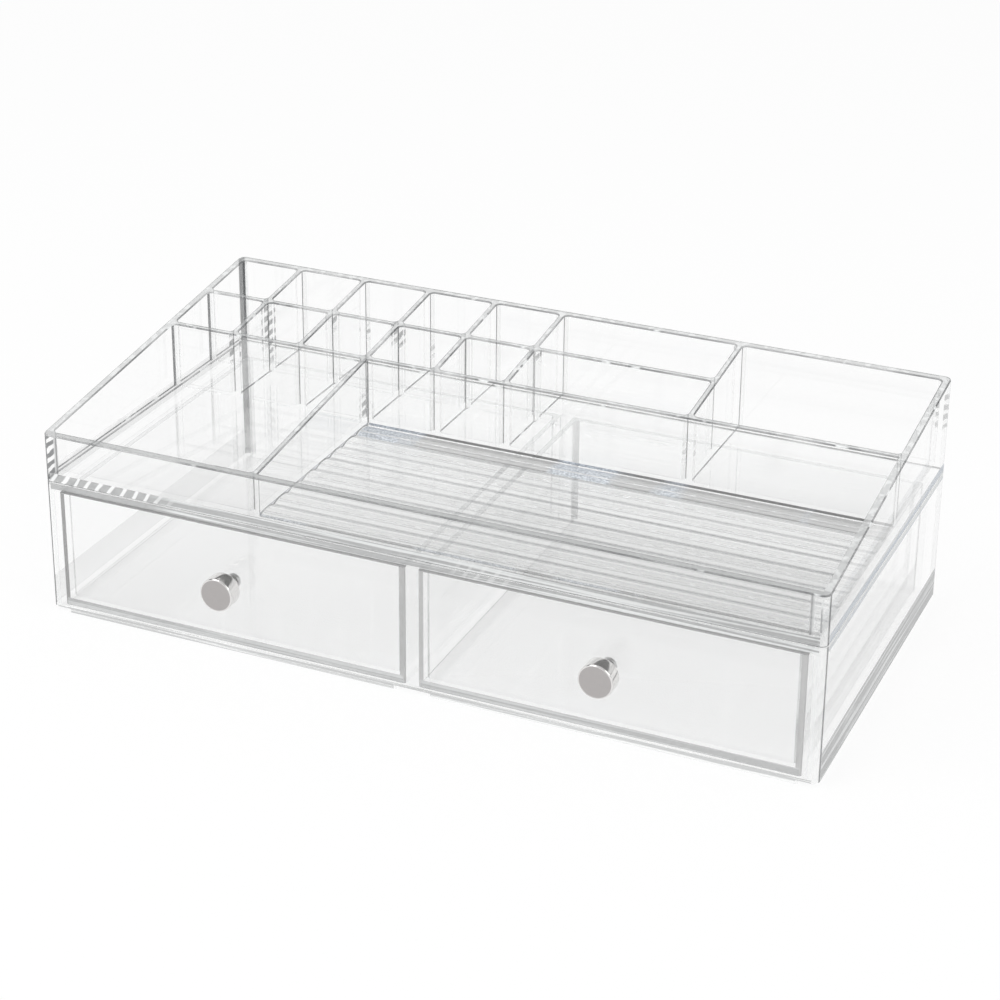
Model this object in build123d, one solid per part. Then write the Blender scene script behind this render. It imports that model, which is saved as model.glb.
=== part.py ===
from build123d import *
import os

# A clear acrylic vanity organizer: a low case with two drawers side by side, and on it a tray
# of small cells with a ribbed space for brushes. X is to the right, Y to the back, Z up.
# It is drawn about the middle of the case, and then moved back, so that the origin is in the
# middle of the whole footprint, knobs included, on the surface that it stands on. Millimetres.

# Driving dimensions
WIDTH = 330.0
DEPTH = 165.0
CORNER_RADIUS = 3.0
SEAM_Z = 58.5                 # the tray stands on the case here
FRONT_RIM_Z = 79.5            # the rim of the tray climbs evenly from front to back
BACK_RIM_Z = 100.0

# Case
CASE_WALL = 4.3
CASE_BACK = 4.0
TOP_PANEL = 2.8
WALL_FOOT_Z = 1.65            # the walls end above the surface, and two pads carry the case
CASE_FLOOR_Z = 2.9
PAD_INNER_X = 6.3
PAD_OUTER_X = 158.0
RUNNER_TOP_Z = 3.5
RUNNER_WIDTH = 1.6
RUNNER_INSET = 13.0           # from the side of a drawer to the middle of its runner
RUNNER_FRONT_Y = -68.0
FIN_SHEET = 2.4
FIN_TOP_Z = 28.7
FIN_FRONT_Y = -55.0

# Tray
TRAY_WALL = 3.3
DIVIDER = 2.5
CELL_FLOOR_Z = 62.8
CELL_PITCH = 31.85
FIRST_DIVIDER_X = -132.7
DEEP_CELL_DIVIDER_X = 75.3    # the sheet left of the one deep cell
MIDDLE_ROW_Y = 48.4
FRONT_ROW_Y = 17.3
BRUSH_FLOOR = 2.5
RIB_COUNT = 8
RIB_HEIGHT = 1.3

# Drawers
DRAWER_WIDTH = 155.8
DRAWER_LENGTH = 157.0
DRAWER_TOP_Z = 54.6
DRAWER_GAP = 5.4              # between the two drawers, on the middle line
DRAWER_LIFT = 0.05            # running fit on the runners
DRAWER_SHEET = 2.4
DRAWER_FLOOR = 3.5

# Knobs, each turned about its own axis, and the screws that hold them
KNOB_Z = 30.0
KNOB_LENGTH = 10.5
KNOB_HEAD_RADIUS = 7.1
KNOB_HEAD_LENGTH = 7.0
KNOB_RIM = 0.6
KNOB_FLARE = 1.2              # length over which the neck opens out under the head
KNOB_NECK_RADIUS = 3.4
KNOB_BASE_RADIUS = 4.2
KNOB_BASE_LENGTH = 0.8
KNOB_BASE_BEVEL = 0.4
THREAD_RADIUS = 1.5
THREAD_DEPTH = 7.0
SCREW_REACH = 6.0             # how far the screw goes into the knob
SCREW_HOLE_RADIUS = 1.75
SCREW_HEAD_RADIUS = 3.0
SCREW_HEAD_HEIGHT = 1.8
CROSS_LENGTH = 3.4
CROSS_WIDTH = 0.7
CROSS_DEPTH = 1.0

# Sizes that follow
HALF_WIDTH = WIDTH / 2
HALF_DEPTH = DEPTH / 2
CASE_INNER_X = HALF_WIDTH - CASE_WALL
CASE_INNER_BACK_Y = HALF_DEPTH - CASE_BACK
TRAY_INNER_X = HALF_WIDTH - TRAY_WALL
TRAY_INNER_Y = HALF_DEPTH - TRAY_WALL
HALF_DIVIDER = DIVIDER / 2
CELL_DIVIDERS_X = [FIRST_DIVIDER_X + CELL_PITCH * step for step in range(5)]
LONG_DIVIDER_X = CELL_DIVIDERS_X[2]
BRUSH_LEFT_X = LONG_DIVIDER_X + HALF_DIVIDER
BRUSH_BACK_Y = FRONT_ROW_Y - HALF_DIVIDER
DRAWER_MIDDLE_X = (DRAWER_GAP + DRAWER_WIDTH) / 2
DRAWER_BOTTOM_Z = RUNNER_TOP_Z + DRAWER_LIFT


def block(x, y, z):
    """A square-cornered block between two x, two y and two z values."""
    size = Box(x[1] - x[0], y[1] - y[0], z[1] - z[0])
    return Pos((x[0] + x[1]) / 2, (y[0] + y[1]) / 2, (z[0] + z[1]) / 2) * size


def across(middle, thickness):
    """The two faces of a sheet that stands about a middle line."""
    return middle - thickness / 2, middle + thickness / 2


def rim_height(y):
    """The height of the tray's sloping rim at a depth."""
    return FRONT_RIM_Z + (BACK_RIM_Z - FRONT_RIM_Z) * (y + HALF_DEPTH) / DEPTH


def outer_form():
    """The rounded upright outline of the whole object."""
    return extrude(RectangleRounded(WIDTH, DEPTH, CORNER_RADIUS), amount=BACK_RIM_Z)


def under_rim():
    """All the space below the sloping rim."""
    side = Polyline(
        (-HALF_DEPTH, 0),
        (HALF_DEPTH, 0),
        (HALF_DEPTH, BACK_RIM_Z),
        (-HALF_DEPTH, FRONT_RIM_Z),
        close=True,
    )
    return extrude(Plane.YZ * make_face(side), amount=HALF_WIDTH, both=True)


OUTER_FORM = outer_form()
UNDER_RIM = under_rim()


# Case


def case_sheets():
    """The five sheets of the case and the fin that keeps the drawers apart."""
    panel_bottom_z = SEAM_Z - TOP_PANEL
    wall_z = (WALL_FOOT_Z, SEAM_Z)
    full_y = (-HALF_DEPTH, HALF_DEPTH)
    between_x = (-CASE_INNER_X, CASE_INNER_X)
    back_y = (CASE_INNER_BACK_Y, HALF_DEPTH)
    fin_y = (FIN_FRONT_Y, CASE_INNER_BACK_Y)
    return {
        "case_left_wall": block((-HALF_WIDTH, -CASE_INNER_X), full_y, wall_z) & OUTER_FORM,
        "case_right_wall": block((CASE_INNER_X, HALF_WIDTH), full_y, wall_z) & OUTER_FORM,
        "case_back_wall": block(between_x, back_y, (WALL_FOOT_Z, panel_bottom_z)) & OUTER_FORM,
        "case_top_panel": block(between_x, full_y, (panel_bottom_z, SEAM_Z)) & OUTER_FORM,
        "case_floor": case_floor(),
        "centre_guide_fin": block(across(0, FIN_SHEET), fin_y, (CASE_FLOOR_Z, FIN_TOP_Z)),
    }


def case_floor():
    """The bottom sheet, with a pad below and two low runners above for each drawer."""
    floor_y = (-HALF_DEPTH, CASE_INNER_BACK_Y)
    floor = block((-CASE_INNER_X, CASE_INNER_X), floor_y, (WALL_FOOT_Z, CASE_FLOOR_Z))
    for side in (-1, 1):
        pad_x = sorted((side * PAD_INNER_X, side * PAD_OUTER_X))
        floor += block(pad_x, floor_y, (0, WALL_FOOT_Z))
        for reach in (-1, 1):
            runner_x = side * DRAWER_MIDDLE_X + reach * (DRAWER_WIDTH / 2 - RUNNER_INSET)
            runner_y = (RUNNER_FRONT_Y, CASE_INNER_BACK_Y)
            floor += block(across(runner_x, RUNNER_WIDTH), runner_y, (CASE_FLOOR_Z, RUNNER_TOP_Z))
    return floor & OUTER_FORM


# Tray


def tray_walls():
    """The four walls of the tray, rounded at the corners and cut to the sloping rim."""
    full_y = (-HALF_DEPTH, HALF_DEPTH)
    between_x = (-TRAY_INNER_X, TRAY_INNER_X)
    wall_z = (SEAM_Z, BACK_RIM_Z)
    places = {
        "tray_left_wall": ((-HALF_WIDTH, -TRAY_INNER_X), full_y),
        "tray_right_wall": ((TRAY_INNER_X, HALF_WIDTH), full_y),
        "tray_front_wall": (between_x, (-HALF_DEPTH, -TRAY_INNER_Y)),
        "tray_back_wall": (between_x, (TRAY_INNER_Y, HALF_DEPTH)),
    }
    return {
        name: block(x, y, wall_z) & OUTER_FORM & UNDER_RIM
        for name, (x, y) in places.items()
    }


def tray_floor():
    """The floor sheet under the cells, with a window at the front right for the brush floor."""
    inner_x = (-TRAY_INNER_X, TRAY_INNER_X)
    inner_y = (-TRAY_INNER_Y, TRAY_INNER_Y)
    window_x = (BRUSH_LEFT_X, TRAY_INNER_X)
    window_y = (-TRAY_INNER_Y, BRUSH_BACK_Y)
    floor_z = (SEAM_Z, CELL_FLOOR_Z)
    return block(inner_x, inner_y, floor_z) - block(window_x, window_y, floor_z)


def ribbed_brush_floor():
    """The lower floor for brushes: wide shallow ribs side by side, each one an arc."""
    valley_z = SEAM_Z + BRUSH_FLOOR
    pitch = (BRUSH_BACK_Y + TRAY_INNER_Y) / RIB_COUNT
    ribs = []
    for rib in range(RIB_COUNT):
        start_y = -TRAY_INNER_Y + rib * pitch
        crest = (start_y + pitch / 2, valley_z + RIB_HEIGHT)
        ribs.append(ThreePointArc((start_y, valley_z), crest, (start_y + pitch, valley_z)))
    base = Polyline(
        (BRUSH_BACK_Y, valley_z),
        (BRUSH_BACK_Y, SEAM_Z),
        (-TRAY_INNER_Y, SEAM_Z),
        (-TRAY_INNER_Y, valley_z),
    )
    section = Plane.YZ * make_face(ribs + base.edges())
    return Pos(BRUSH_LEFT_X, 0, 0) * extrude(section, amount=TRAY_INNER_X - BRUSH_LEFT_X)


def crossing_notch(x, row_y, from_top):
    """The notch where two sheets halve into each other: the row sheet's opens at its top."""
    middle_z = (CELL_FLOOR_Z + rim_height(row_y)) / 2
    notch_z = (middle_z, BACK_RIM_Z) if from_top else (CELL_FLOOR_Z, middle_z)
    return block(across(x, DIVIDER), across(row_y, DIVIDER), notch_z)


def cell_divider(x, front_y, crossed_rows):
    """A sheet that runs from the tray's back wall to the front, notched from below."""
    sheet = block(across(x, DIVIDER), (front_y, TRAY_INNER_Y), (CELL_FLOOR_Z, BACK_RIM_Z))
    sheet &= UNDER_RIM
    for row_y in crossed_rows:
        sheet -= crossing_notch(x, row_y, from_top=False)
    return sheet


def row_divider(row_y, right_x, crossed_columns):
    """A sheet that runs from the tray's left wall to the right, notched from above."""
    sheet = block((-TRAY_INNER_X, right_x), across(row_y, DIVIDER), (CELL_FLOOR_Z, BACK_RIM_Z))
    sheet &= UNDER_RIM
    for x in crossed_columns:
        sheet -= crossing_notch(x, row_y, from_top=True)
    return sheet


def tray_dividers():
    """The six sheets from back to front and the two that cross them."""
    short_front_y = FRONT_ROW_Y + HALF_DIVIDER
    deep_cell_left_x = DEEP_CELL_DIVIDER_X - HALF_DIVIDER
    both_rows = [MIDDLE_ROW_Y, FRONT_ROW_Y]
    dividers = {
        "cell_divider_6": cell_divider(DEEP_CELL_DIVIDER_X, short_front_y, []),
        "middle_row_divider": row_divider(MIDDLE_ROW_Y, deep_cell_left_x, CELL_DIVIDERS_X),
        "front_row_divider": row_divider(FRONT_ROW_Y, TRAY_INNER_X, [LONG_DIVIDER_X]),
    }
    for number, x in enumerate(CELL_DIVIDERS_X, start=1):
        if x == LONG_DIVIDER_X:
            dividers["long_divider"] = cell_divider(x, -TRAY_INNER_Y, both_rows)
        else:
            dividers[f"cell_divider_{number}"] = cell_divider(x, short_front_y, [MIDDLE_ROW_Y])
    return dividers


# Drawers


def facing_front(shape, x, y):
    """Lays a shape turned about Z along a knob's axis, its foot at a depth, pointing forward."""
    return Pos(x, y, KNOB_Z) * Rot(90, 0, 0) * shape


def knob(x):
    """The turned knob: a small bevelled base, a short neck and a flat head with a soft rim."""
    shoulder = KNOB_LENGTH - KNOB_HEAD_LENGTH
    foot = Line((THREAD_RADIUS, 0), (KNOB_BASE_RADIUS, 0))
    base = Line(foot @ 1, (KNOB_BASE_RADIUS, KNOB_BASE_LENGTH))
    bevel = Line(base @ 1, (KNOB_NECK_RADIUS, KNOB_BASE_LENGTH + KNOB_BASE_BEVEL))
    neck = Line(bevel @ 1, (KNOB_NECK_RADIUS, shoulder - KNOB_FLARE))
    under_head = TangentArc((KNOB_HEAD_RADIUS, shoulder), neck @ 1, tangent=(-1, 0))
    side = Line((KNOB_HEAD_RADIUS, shoulder), (KNOB_HEAD_RADIUS, KNOB_LENGTH - KNOB_RIM))
    rim = Line(side @ 1, (KNOB_HEAD_RADIUS - KNOB_RIM, KNOB_LENGTH))
    face = Line(rim @ 1, (0, KNOB_LENGTH))
    bore = Polyline((0, KNOB_LENGTH), (0, THREAD_DEPTH), (THREAD_RADIUS, THREAD_DEPTH), foot @ 0)
    outline = [foot, base, bevel, neck, under_head, side, rim, face] + bore.edges()
    turned = revolve(Plane.XZ * make_face(outline), Axis.Z)
    return facing_front(turned, x, -HALF_DEPTH)


def knob_screw(x):
    """The screw that holds the knob: a low round head inside the drawer, with a cross in it."""
    inner_face_y = -HALF_DEPTH + DRAWER_SHEET
    bottom = (Align.CENTER, Align.CENTER, Align.MIN)
    top = (Align.CENTER, Align.CENTER, Align.MAX)
    shank = Cylinder(THREAD_RADIUS, DRAWER_SHEET + SCREW_REACH, align=bottom)
    head = Cylinder(SCREW_HEAD_RADIUS, SCREW_HEAD_HEIGHT, align=top)
    head_face = Pos(0, 0, -SCREW_HEAD_HEIGHT)
    head -= head_face * Box(CROSS_LENGTH, CROSS_WIDTH, CROSS_DEPTH, align=bottom)
    head -= head_face * Box(CROSS_WIDTH, CROSS_LENGTH, CROSS_DEPTH, align=bottom)
    return facing_front(shank + head, x, inner_face_y)


def drawer_sheets(x):
    """The five sheets of a drawer about its middle line, by name."""
    outer_x = across(x, DRAWER_WIDTH)
    inner_x = across(x, DRAWER_WIDTH - 2 * DRAWER_SHEET)
    front_y = (-HALF_DEPTH, -HALF_DEPTH + DRAWER_SHEET)
    end_y = -HALF_DEPTH + DRAWER_LENGTH
    back_y = (end_y - DRAWER_SHEET, end_y)
    side_y = (front_y[1], end_y)
    floor_y = (front_y[1], back_y[0])
    wall_z = (DRAWER_BOTTOM_Z, DRAWER_TOP_Z)
    floor_z = (DRAWER_BOTTOM_Z, DRAWER_BOTTOM_Z + DRAWER_FLOOR)
    hole = Cylinder(SCREW_HOLE_RADIUS, 4 * DRAWER_SHEET)
    return {
        "front": block(outer_x, front_y, wall_z) - facing_front(hole, x, -HALF_DEPTH),
        "left_side": block((outer_x[0], inner_x[0]), side_y, wall_z),
        "right_side": block((inner_x[1], outer_x[1]), side_y, wall_z),
        "back": block(inner_x, back_y, wall_z),
        "floor": block(inner_x, floor_y, floor_z),
    }


def drawer(side_name, x):
    """One drawer with its knob and screw."""
    pieces = {f"{side_name}_drawer_{name}": sheet for name, sheet in drawer_sheets(x).items()}
    pieces[f"{side_name}_drawer_knob"] = knob(x)
    pieces[f"{side_name}_knob_screw"] = knob_screw(x)
    return pieces


def organizer():
    """Every piece of the object, by name."""
    pieces = case_sheets() | tray_walls() | tray_dividers()
    pieces["tray_floor"] = tray_floor()
    pieces["ribbed_brush_floor"] = ribbed_brush_floor()
    pieces |= drawer("left", -DRAWER_MIDDLE_X)
    pieces |= drawer("right", DRAWER_MIDDLE_X)
    return pieces


os.makedirs("parts", exist_ok=True)
for piece_name, piece in organizer().items():
    export_step(Pos(0, KNOB_LENGTH / 2, 0) * piece, f"parts/{piece_name}.step")
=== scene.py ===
import math

import bmesh
import bpy
from mathutils import Matrix, Vector


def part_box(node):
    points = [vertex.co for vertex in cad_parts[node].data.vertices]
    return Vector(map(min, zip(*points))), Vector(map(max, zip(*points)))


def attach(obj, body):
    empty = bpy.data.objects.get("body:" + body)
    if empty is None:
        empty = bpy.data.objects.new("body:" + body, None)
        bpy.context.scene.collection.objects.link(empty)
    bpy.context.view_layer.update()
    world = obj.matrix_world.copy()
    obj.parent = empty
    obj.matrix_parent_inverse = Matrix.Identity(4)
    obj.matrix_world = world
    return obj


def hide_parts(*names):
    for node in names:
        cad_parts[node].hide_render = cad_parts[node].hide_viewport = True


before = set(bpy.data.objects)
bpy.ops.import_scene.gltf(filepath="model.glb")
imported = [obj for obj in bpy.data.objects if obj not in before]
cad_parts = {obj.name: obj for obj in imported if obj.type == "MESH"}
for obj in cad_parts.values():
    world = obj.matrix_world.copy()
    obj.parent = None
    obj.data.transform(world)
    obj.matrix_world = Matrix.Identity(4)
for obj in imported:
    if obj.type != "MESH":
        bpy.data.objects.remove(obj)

bl_info = {
    "name": "Clear Vanity Organizer",
    "version": (1, 0, 0),
    "blender": (4, 5, 0),
    "location": "View3D > Sidebar > Organizer",
    "description": "A clear acrylic organizer with two drawers and a tray of cells",
    "category": "Add Mesh",
}

# The tray's sheets in the order in which they stand, from left to right and from front to back.
COLUMN_SHEETS = (
    "tray_left_wall",
    "cell_divider_1",
    "cell_divider_2",
    "long_divider",
    "cell_divider_4",
    "cell_divider_5",
    "cell_divider_6",
    "tray_right_wall",
)
TRAY_SHEETS = COLUMN_SHEETS + (
    "tray_front_wall",
    "tray_back_wall",
    "tray_floor",
    "ribbed_brush_floor",
    "middle_row_divider",
    "front_row_divider",
)
CASE_SHEETS = (
    "case_left_wall",
    "case_right_wall",
    "case_back_wall",
    "case_top_panel",
    "case_floor",
    "centre_guide_fin",
)
DRAWER_SHEETS = ("front", "left_side", "right_side", "back", "floor")
SIDES = ("left", "right")

# How the parts of a clear piece look, in the order of its material slots. All but clear_sheet lay
# painted refraction and reflection, dark lines and grey or pale streaks, over the clear face.
CLEAR_FINISHES = (
    "clear_sheet",
    "rim_face",
    "pale_face",
    "corner_face",
    "edge_line",
    "faint_line",
    "soft_line",
    "slab_edge",
    "ribbed_face",
    "step_face",
)

CLEARANCE = 0.005    # how far a cutting block runs past the face that it cuts through
OVERLAP = 0.0006     # how far an added block reaches into what it stands on
TINY = 0.0001
NEAR_EDGE = 0.001    # how close to an edge its polished round lies
MERGED = 0.000002    # how close together corners are one and the same
SKIN = 0.0007        # how deep the outermost faces lie, their polished rounds included
SAME = 0.9999        # two directions with this much in common are the same
STRAIGHT = 0.999     # a direction with this much of it along an axis runs straight along it
SQUARE = 0.9         # with this much it faces that axis
TURNED = 0.1         # and with this little it doesn't
STEEP = 0.7          # a face that looks up by less than this is part of a step
CORNER_STEPS = 12    # faces in the round of an outer corner
RIB_STEPS = 16       # faces across one rib
UPRIGHT = Vector((0, 0, 1))
ACROSS = Vector((1, 0, 0))
INWARD = Vector((0, 1, 0))


def length(name, description, value):
    """A length in metres."""
    return bpy.props.FloatProperty(
        name=name, description=description, default=value, unit="LENGTH",
    )


def angle(name, description, degrees):
    """An angle, given in degrees."""
    return bpy.props.FloatProperty(
        name=name, description=description, default=math.radians(degrees), subtype="ANGLE",
    )


def tint(name, description, value):
    """A colour."""
    return bpy.props.FloatVectorProperty(
        name=name, description=description, default=value, subtype="COLOR", min=0, max=1,
    )


class OrganizerSizes(bpy.types.PropertyGroup):
    """The sizes that the frame doesn't give."""

    outer_corner: length("Outer corners", "Radius of the upright outer corners", 0.003)
    # Corner width, side band and step shade say where painted refraction and painted shade go.
    corner_width: length("Corner width", "How wide the front's ends look different", 0.007)
    side_band: length(
        "Side band", "Height of the streaked band along the foot of the sides", 0.0115,
    )
    step_shade: length("Step shade", "Depth of the dark band in front of the cells", 0.0115)
    cell_corner: length("Cell corners", "Radius of the upright corners inside the tray", 0.002)
    bay_corner: length("Bay corners", "Radius of the upper corners of the drawers' bay", 0.0018)
    drawer_corner: length("Drawer corners", "Outer radius of a drawer's upright corners", 0.0012)
    drawer_inner_corner: length(
        "Drawer inner corners", "Radius of the corners inside a drawer", 0.0018,
    )
    softness: length("Edge softness", "Width of the polished round on every edge", 0.0006)
    seam: length("Seam", "Gap between the tray and the case, which shows as a line", 0.00012)
    rib_height: length(
        "Rib height", "Height of a rib of the brush floor above its valley", 0.0013,
    )
    rib_count: bpy.props.IntProperty(
        name="Ribs", description="Ribs across the brush floor", default=8, min=1,
    )
    pad_inner_x: length(
        "Pad inner side", "From the middle line to the near side of a pad", 0.0063,
    )
    pad_outer_x: length("Pad outer side", "From the middle line to the far side of a pad", 0.158)
    runner_width: length("Runner width", "Width of a runner under a drawer", 0.0016)
    runner_inset: length(
        "Runner inset", "From a drawer's side to the middle of its runner", 0.013,
    )
    runner_setback: length("Runner setback", "From the front of the case to a runner", 0.0145)
    screw_hole: length("Screw hole", "Radius of the hole in a drawer's front", 0.00175)


class OrganizerKnob(bpy.types.PropertyGroup):
    """The turned form of a knob, measured from the drawer's front."""

    base_radius: length("Base radius", "Radius of the foot on the drawer", 0.0042)
    base_length: length("Base length", "Length of the foot on the drawer", 0.0008)
    neck_radius: length("Neck radius", "Radius of the narrow neck", 0.0034)
    flare_length: length(
        "Flare length", "Length over which the neck opens out to the head", 0.0012,
    )
    head_length: length("Head length", "Length of the straight head", 0.007)
    rim: length("Rim", "Radius of the round at the edge of the face", 0.0006)
    bore_radius: length("Bore radius", "Radius of the hole that takes the screw", 0.00153)
    bore_depth: length("Bore depth", "Depth of the hole that takes the screw", 0.007)


class OrganizerColours(bpy.types.PropertyGroup):
    """The colours of the finishes and of the stage. The edge lines, sheet edges and step are
    painted refraction and reflection on the clear acrylic.
    """

    clear: tint(
        "Clear acrylic", "What one polished face lets through", (0.9966, 0.9972, 0.9970),
    )
    # Painted refraction and reflection: the dark lines, pale streaks and bluish step below stand
    # for what the clear acrylic shows, not for colours of its own.
    line: tint("Edge lines", "Colour of the dark lines along the edges", (0.10, 0.105, 0.11))
    edge: tint(
        "Sheet edges", "Colour of the pale streaks in a sheet's edge", (0.84, 0.86, 0.86),
    )
    step: tint("Step", "Colour of the step down to the brush floor", (0.50, 0.56, 0.64))
    chrome: tint("Chrome", "Colour of the knobs", (0.80, 0.785, 0.775))
    knob_face: tint("Knob face", "Colour of the turned face of a knob", (0.475, 0.455, 0.45))
    steel: tint("Plated steel", "Colour of the screws", (0.62, 0.62, 0.61))
    floor: tint("Floor", "Colour of the floor", (0.94, 0.94, 0.94))


class OrganizerView(bpy.types.PropertyGroup):
    """Where the camera stands, as seen from the middle of the case."""

    azimuth: angle("Azimuth", "Turn of the camera to the right of the front", 23.69)
    elevation: angle("Elevation", "How far the camera looks down", 22.74)
    roll: angle("Roll", "Turn of the camera about its own axis", 0.51)
    offset: bpy.props.FloatVectorProperty(
        name="Offset", description="The camera's place along its own right, up and back axes",
        default=(0.00106, 0.1052, 1.05816), subtype="TRANSLATION", unit="LENGTH",
    )
    focal_length: bpy.props.FloatProperty(
        name="Focal length", description="In millimetres on a sensor 36 mm wide",
        default=91.06, unit="CAMERA",
    )
    shift: bpy.props.FloatProperty(
        name="Vertical shift", description="It keeps the upright edges nearly parallel",
        default=-0.15,
    )


# Shader values and nodes


class Value:
    """One output of a node. Python's operators on it add Math nodes."""

    def __init__(self, nodes, socket):
        self.nodes = nodes
        self.socket = socket

    def maths(self, operation, first, second=0.0):
        return self.nodes.add("ShaderNodeMath", {"operation": operation}, {0: first, 1: second})

    def __add__(self, other):
        return self.maths("ADD", self, other)

    def __radd__(self, other):
        return self.maths("ADD", other, self)

    def __sub__(self, other):
        return self.maths("SUBTRACT", self, other)

    def __rsub__(self, other):
        return self.maths("SUBTRACT", other, self)

    def __mul__(self, other):
        return self.maths("MULTIPLY", self, other)

    def __rmul__(self, other):
        return self.maths("MULTIPLY", other, self)

    def __pow__(self, other):
        return self.maths("POWER", self, other)

    def larger(self, other):
        return self.maths("MAXIMUM", self, other)

    def below(self, limit):
        return self.maths("LESS_THAN", self, limit)

    def sine(self):
        return self.maths("SINE", self)

    def fraction(self):
        return self.maths("FRACT", self)

    def unsigned(self):
        return self.maths("ABSOLUTE", self)

    def wave(self):
        """A wave from 0 to 1."""
        return self.sine() * 0.5 + 0.5


class Nodes:
    """The node tree of one finish, or of the world."""

    def __init__(self, owner):
        owner.use_nodes = True
        self.tree = owner.node_tree
        self.tree.nodes.clear()

    def add(self, kind, settings=None, inputs=None, output=0):
        """Adds a node with its settings, then sets or links its sockets, and gives one output."""
        node = self.tree.nodes.new(kind)
        for name, setting in (settings or {}).items():
            if name == "stops":
                self.set_stops(node.color_ramp, setting)
            else:
                setattr(node, name, setting)
        for name, value in (inputs or {}).items():
            if isinstance(value, Value):
                self.tree.links.new(value.socket, node.inputs[name])
            else:
                node.inputs[name].default_value = value
        if not node.outputs:
            return None
        return Value(self, node.outputs[output])

    @staticmethod
    def set_stops(ramp, stops):
        """Gives a colour ramp its stops, as pairs of place and grey level."""
        while len(ramp.elements) < len(stops):
            ramp.elements.new(1.0)
        for element, (place, level) in zip(ramp.elements, stops):
            element.position = place
            element.color = (level, level, level, 1)

    def cloud(self, scale, detail=2.0, stretch=(1, 1, 1)):
        """Noise on the object, drawn out along its axes."""
        place = self.add("ShaderNodeTexCoord", output="Object")
        drawn = self.add("ShaderNodeMapping", None, {"Vector": place, "Scale": stretch})
        return self.add(
            "ShaderNodeTexNoise", None, {"Vector": drawn, "Scale": scale, "Detail": detail},
        )

    def along(self, axis):
        """One coordinate on the object."""
        place = self.add("ShaderNodeTexCoord", output="Object")
        return self.add("ShaderNodeSeparateXYZ", None, {0: place}, output=axis)

    def share(self, axis, low, high):
        """The place between two ends of the object, from 0 at one to 1 at the other."""
        return (self.along(axis) - low) * (1 / (high - low))

    def from_left(self):
        """The place across the whole object, from 0 at its left side to 1 at its right side."""
        left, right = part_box("case_left_wall")[0].x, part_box("case_right_wall")[1].x
        return self.share("X", left, right)

    def seen(self):
        """1 for what is looked at, also in a mirror or through the acrylic, and 0 for light."""
        camera, glossy, clear = (
            self.add("ShaderNodeLightPath", output=f"Is {ray} Ray")
            for ray in ("Camera", "Glossy", "Transmission")
        )
        return camera.larger(glossy).larger(clear)

    def slant(self):
        """How far a face turns away from the eye: 0 when square to it, 1 when edge-on."""
        return self.add("ShaderNodeLayerWeight", None, {"Blend": 0.5}, "Facing")

    def steps(self, value, stops):
        """A value passed through a ramp of stops."""
        return self.add("ShaderNodeValToRGB", {"stops": stops}, {0: value})

    def blend(self, factor, first, second):
        """Two colours mixed."""
        return self.add(
            "ShaderNodeMix", {"data_type": "RGBA"},
            {"Factor": factor, "A": opaque(first), "B": opaque(second)},
            output="Result",
        )

    def bump(self, height, strength, distance):
        """Fine relief, made of a value."""
        return self.add(
            "ShaderNodeBump", None,
            {"Strength": strength, "Distance": distance, "Height": height},
        )

    def metal(self, colour, roughness, relief=None):
        """A metal's shader."""
        inputs = {"Base Color": opaque(colour), "Metallic": 1.0, "Roughness": roughness}
        if relief:
            inputs["Normal"] = relief
        return self.add("ShaderNodeBsdfPrincipled", None, inputs)

    def mix(self, factor, first, second):
        """Two shaders mixed."""
        return self.add("ShaderNodeMixShader", None, {0: factor, 1: first, 2: second})

    def finish(self, surface):
        """Ends the tree in its output."""
        self.add("ShaderNodeOutputMaterial", None, {"Surface": surface})


def opaque(colour):
    """A colour with its fourth number. The output of a node stays as it is."""
    return colour if isinstance(colour, Value) else (*colour, 1.0)


def shade(colour, share):
    """A darker or paler form of a colour."""
    return [level * share for level in colour]


def polished_face(nodes, colours):
    """A polished clear face: light goes through, and slanting light is mirrored more."""
    wear = nodes.cloud(420.0, 3.0)
    waviness = nodes.bump(nodes.cloud(38.0, 1.0), 0.05, 0.0003)
    clear = nodes.add("ShaderNodeBsdfTransparent", None, {"Color": opaque(colours.clear)})
    mirror = nodes.metal((0.98, 0.98, 0.98), 0.01 + wear * 0.05, waviness)
    return nodes.mix(nodes.slant()**5 * 0.9 + 0.04, clear, mirror)


def clear_sheet(colours):
    """The large faces of the sheets."""
    nodes = Nodes(bpy.data.materials.new("clear_sheet"))
    nodes.finish(polished_face(nodes, colours))


def painted_refraction_finish(name, colours, look):
    """A clear finish, partly under a painted colour that stands in for the refraction and
    reflection which the acrylic shows at that place.
    """
    nodes = Nodes(bpy.data.materials.new(name))
    colour, cover = look(nodes)
    # Painted refraction and reflection: a grey or pale diffuse colour laid over the clear face by
    # its share.
    seen = nodes.add("ShaderNodeBsdfPrincipled", None, {"Base Color": colour, "Roughness": 0.2})
    nodes.finish(nodes.mix(cover, polished_face(nodes, colours), seen))


def rim_face(colours):
    """The narrow faces along the rims, with painted refraction and reflection: grey at the front,
    elsewhere pale with small flecks.
    """
    front_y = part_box("tray_front_wall")[1].y
    panel_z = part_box("case_top_panel")[1].z

    def look(nodes):
        place = nodes.from_left()
        at_front = nodes.along("Y").below(front_y)
        low = nodes.along("Z").below(panel_z)
        flecks = nodes.steps(nodes.cloud(240.0, 2.0), [(0.50, 0.0), (0.60, 1.0)])
        pale = nodes.blend(flecks, shade(colours.edge, 0.62), colours.edge)
        # Painted shade: the drawers' grey strips are darker towards the far left.
        beside = nodes.steps(place, [(0.05, 0.24), (0.3, 0.42), (1.0, 0.47)])
        grey = nodes.blend(low, shade(colours.edge, 0.5), beside)
        return nodes.blend(at_front, pale, grey), at_front * (low * 0.25 + 0.15) + 0.45

    painted_refraction_finish("rim_face", colours, look)


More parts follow.
